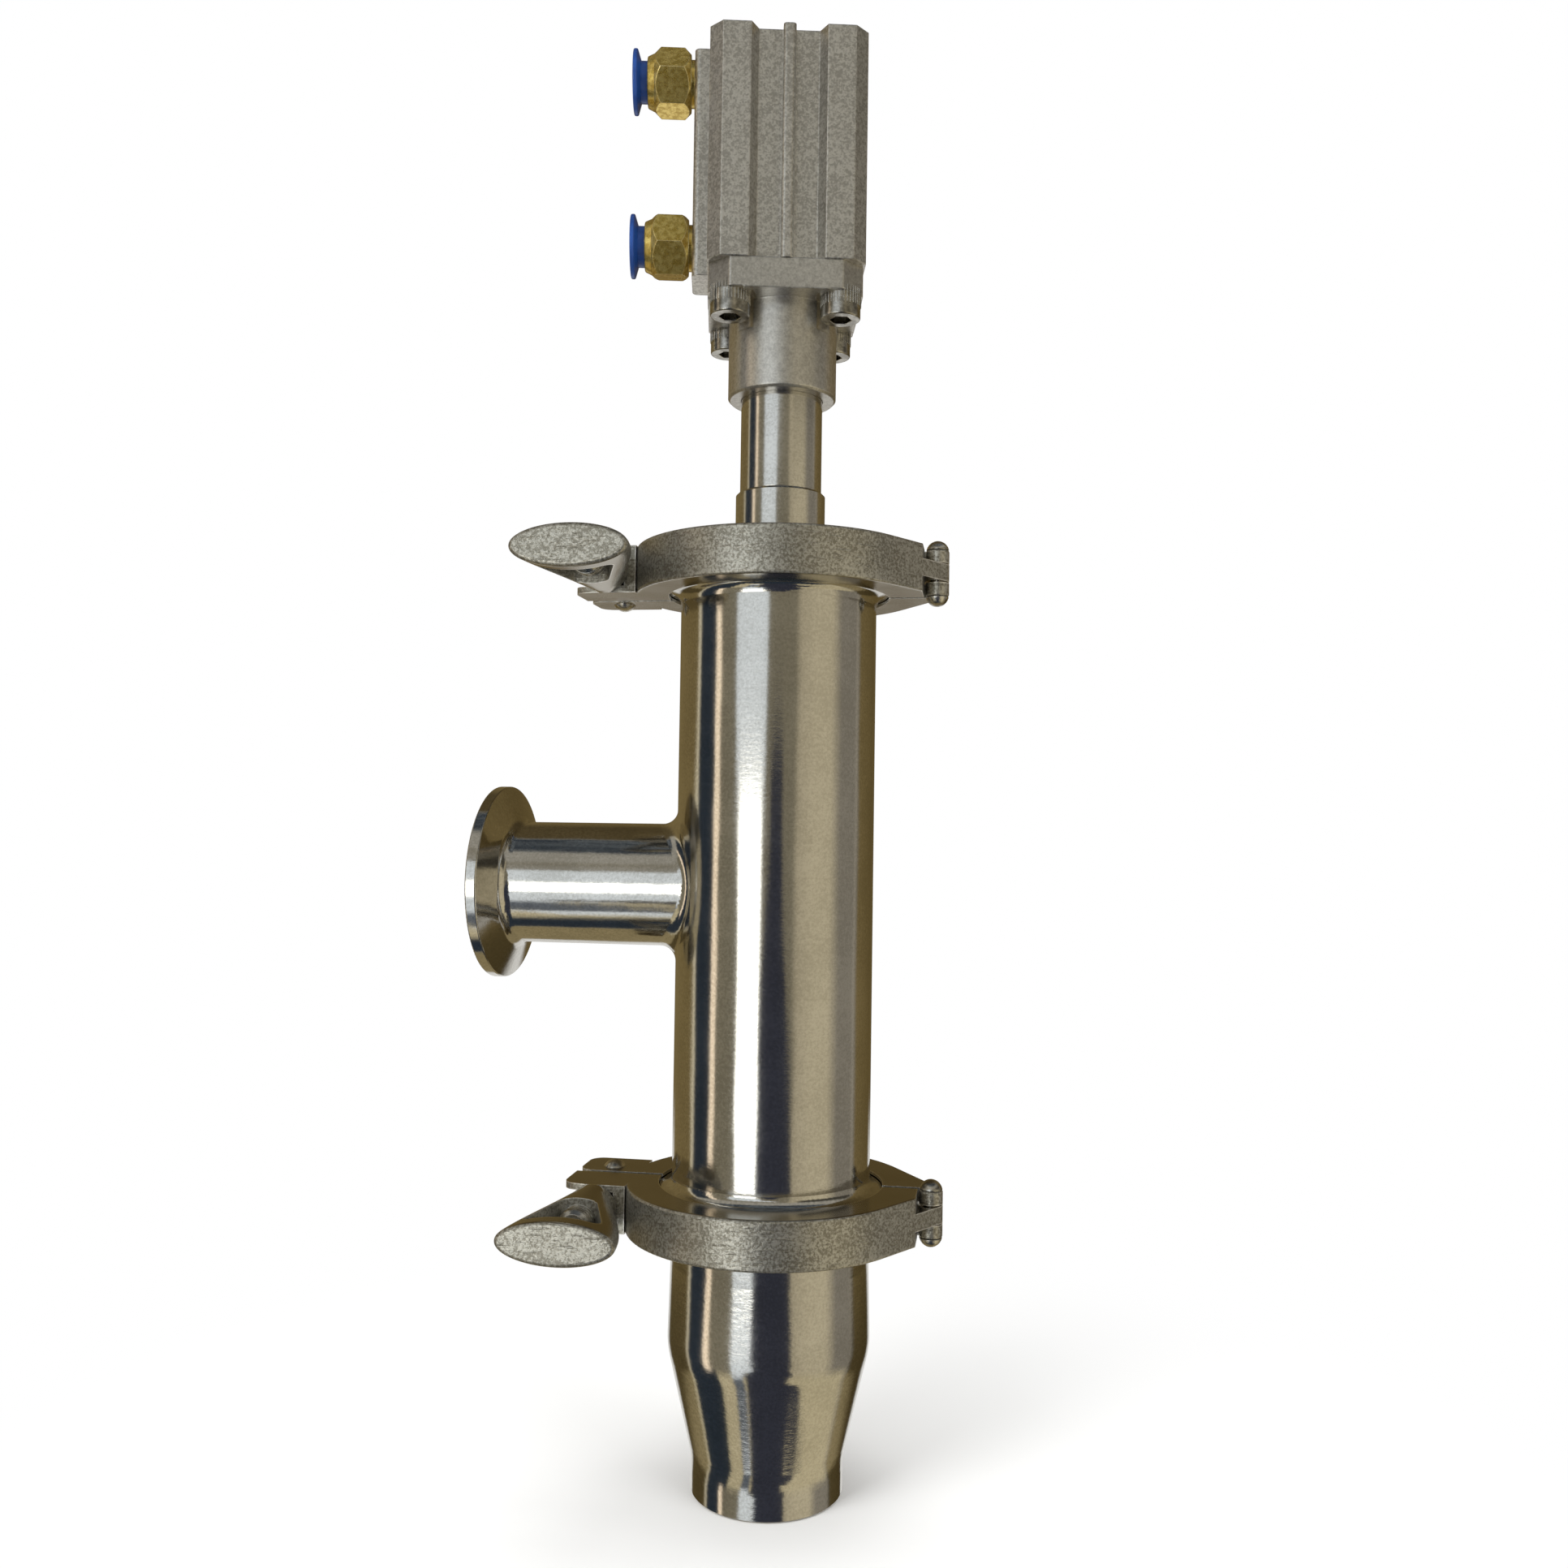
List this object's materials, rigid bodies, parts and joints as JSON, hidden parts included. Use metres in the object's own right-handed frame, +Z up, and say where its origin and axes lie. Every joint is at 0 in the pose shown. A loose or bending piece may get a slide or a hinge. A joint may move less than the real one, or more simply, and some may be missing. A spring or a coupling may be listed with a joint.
{
  "type": "liquid filling nozzle",
  "caption": "Pneumatic filling valve: a steel tee with a tapered nozzle and side inlet, held by hinged clamps, whose stem is lifted by an air cylinder on top.",
  "frame": {"origin": "centre of the nozzle's tip face, on the valve's axis", "axes": "+Z up along the valve to the cylinder, -X along the inlet branch, -Y towards the clamp nuts"},
  "size_m": [0.1186, 0.0821, 0.3712],
  "materials": {
    "polished_steel": "polished stainless steel with fine scratches",
    "cast_steel": "cast stainless steel, pitted outside and polished on its faces",
    "fastener_steel": "machined stainless steel",
    "blasted_aluminium": "bead blasted and clear anodised",
    "brass": "machined brass",
    "blue_plastic": "moulded royal blue plastic",
    "rubber": "black rubber",
    "bush_plastic": "white bearing plastic",
    "magnet": "pressed ferrite, dark grey"
  },
  "bodies": {
    "valve_body": {"actuator_adapter": "blasted_aluminium", "body_tube": "polished_steel", "cylinder_body": "blasted_aluminium", "flange_screws": "fastener_steel", "guide_bush": "bush_plastic", "housing_tube": "polished_steel", "inlet_branch": "polished_steel", "inlet_ferrule": "polished_steel", "lower_clamp_rear": "cast_steel", "lower_fitting_body": "brass", "lower_gasket": "rubber", "lower_grab_ring": "fastener_steel", "lower_hinge_pin": "fastener_steel", "lower_pivot_pin": "fastener_steel", "lower_tee_ferrule": "polished_steel", "lower_tube_seal": "rubber", "nozzle_ferrule": "polished_steel", "nozzle_reducer": "polished_steel", "rod_cover": "blasted_aluminium", "rod_seal": "rubber", "snap_ring": "fastener_steel", "stem_seal": "rubber", "top_cap": "polished_steel", "upper_clamp_rear": "cast_steel", "upper_fitting_body": "brass", "upper_gasket": "rubber", "upper_grab_ring": "fastener_steel", "upper_hinge_pin": "fastener_steel", "upper_pivot_pin": "fastener_steel", "upper_tee_ferrule": "polished_steel", "upper_tube_seal": "rubber"},
    "valve_stem": {"stem": "polished_steel", "plug": "polished_steel", "plug_seal_ring": "rubber", "rod_lock_nut": "fastener_steel", "piston_rod": "polished_steel", "piston": "blasted_aluminium", "lower_piston_seal": "rubber", "upper_piston_seal": "rubber", "magnet_ring": "magnet", "piston_nut": "fastener_steel"},
    "lower_clamp_front": {"lower_clamp_front": "cast_steel"},
    "lower_clamp_bolt": {"lower_eye_bolt": "fastener_steel"},
    "lower_clamp_nut": {"lower_loop_nut": "cast_steel"},
    "lower_release": {"lower_release_collar": "blue_plastic"},
    "upper_clamp_front": {"upper_clamp_front": "cast_steel"},
    "upper_clamp_bolt": {"upper_eye_bolt": "fastener_steel"},
    "upper_clamp_nut": {"upper_loop_nut": "cast_steel"},
    "upper_release": {"upper_release_collar": "blue_plastic"}
  },
  "joints": [
    {"name": "valve_stroke", "type": "slide", "parent": "valve_body", "child": "valve_stem", "axis": [0, 0, 1], "range_m": [0, 0.025]},
    {"name": "lower_clamp_open", "type": "hinge", "parent": "valve_body", "child": "lower_clamp_front", "pos_m": [0.0411, 0, 0.0711], "axis": [0, 0, 1], "range_deg": [0, 5.4]},
    {"name": "lower_bolt_swing", "type": "hinge", "parent": "valve_body", "child": "lower_clamp_bolt", "pos_m": [-0.0432, 0.0065, 0.0711], "axis": [0, 0, -1], "range_deg": [0, 95]},
    {"name": "lower_nut_travel", "type": "slide", "parent": "lower_clamp_bolt", "child": "lower_clamp_nut", "axis": [0, -1, 0], "range_m": [0, 0.0086]},
    {"name": "lower_release_press", "type": "slide", "parent": "valve_body", "child": "lower_release", "axis": [0.9799, 0.1994, 0], "range_m": [0, 0.001], "stiffness_N_per_m": 300},
    {"name": "upper_clamp_open", "type": "hinge", "parent": "valve_body", "child": "upper_clamp_front", "pos_m": [0.0411, 0, 0.2335], "axis": [0, 0, 1], "range_deg": [0, 5.4]},
    {"name": "upper_bolt_swing", "type": "hinge", "parent": "valve_body", "child": "upper_clamp_bolt", "pos_m": [-0.0432, 0.0065, 0.2335], "axis": [0, 0, -1], "range_deg": [0, 95]},
    {"name": "upper_nut_travel", "type": "slide", "parent": "upper_clamp_bolt", "child": "upper_clamp_nut", "axis": [0, -1, 0], "range_m": [0, 0.0086]},
    {"name": "upper_release_press", "type": "slide", "parent": "valve_body", "child": "upper_release", "axis": [0.9799, 0.1994, 0], "range_m": [0, 0.001], "stiffness_N_per_m": 300}
  ],
  "couplings": [
    {"joint": "lower_nut_travel", "follows": "lower_clamp_open", "m_per_rad": 0.0912},
    {"joint": "upper_nut_travel", "follows": "upper_clamp_open", "m_per_rad": 0.0912}
  ]
}
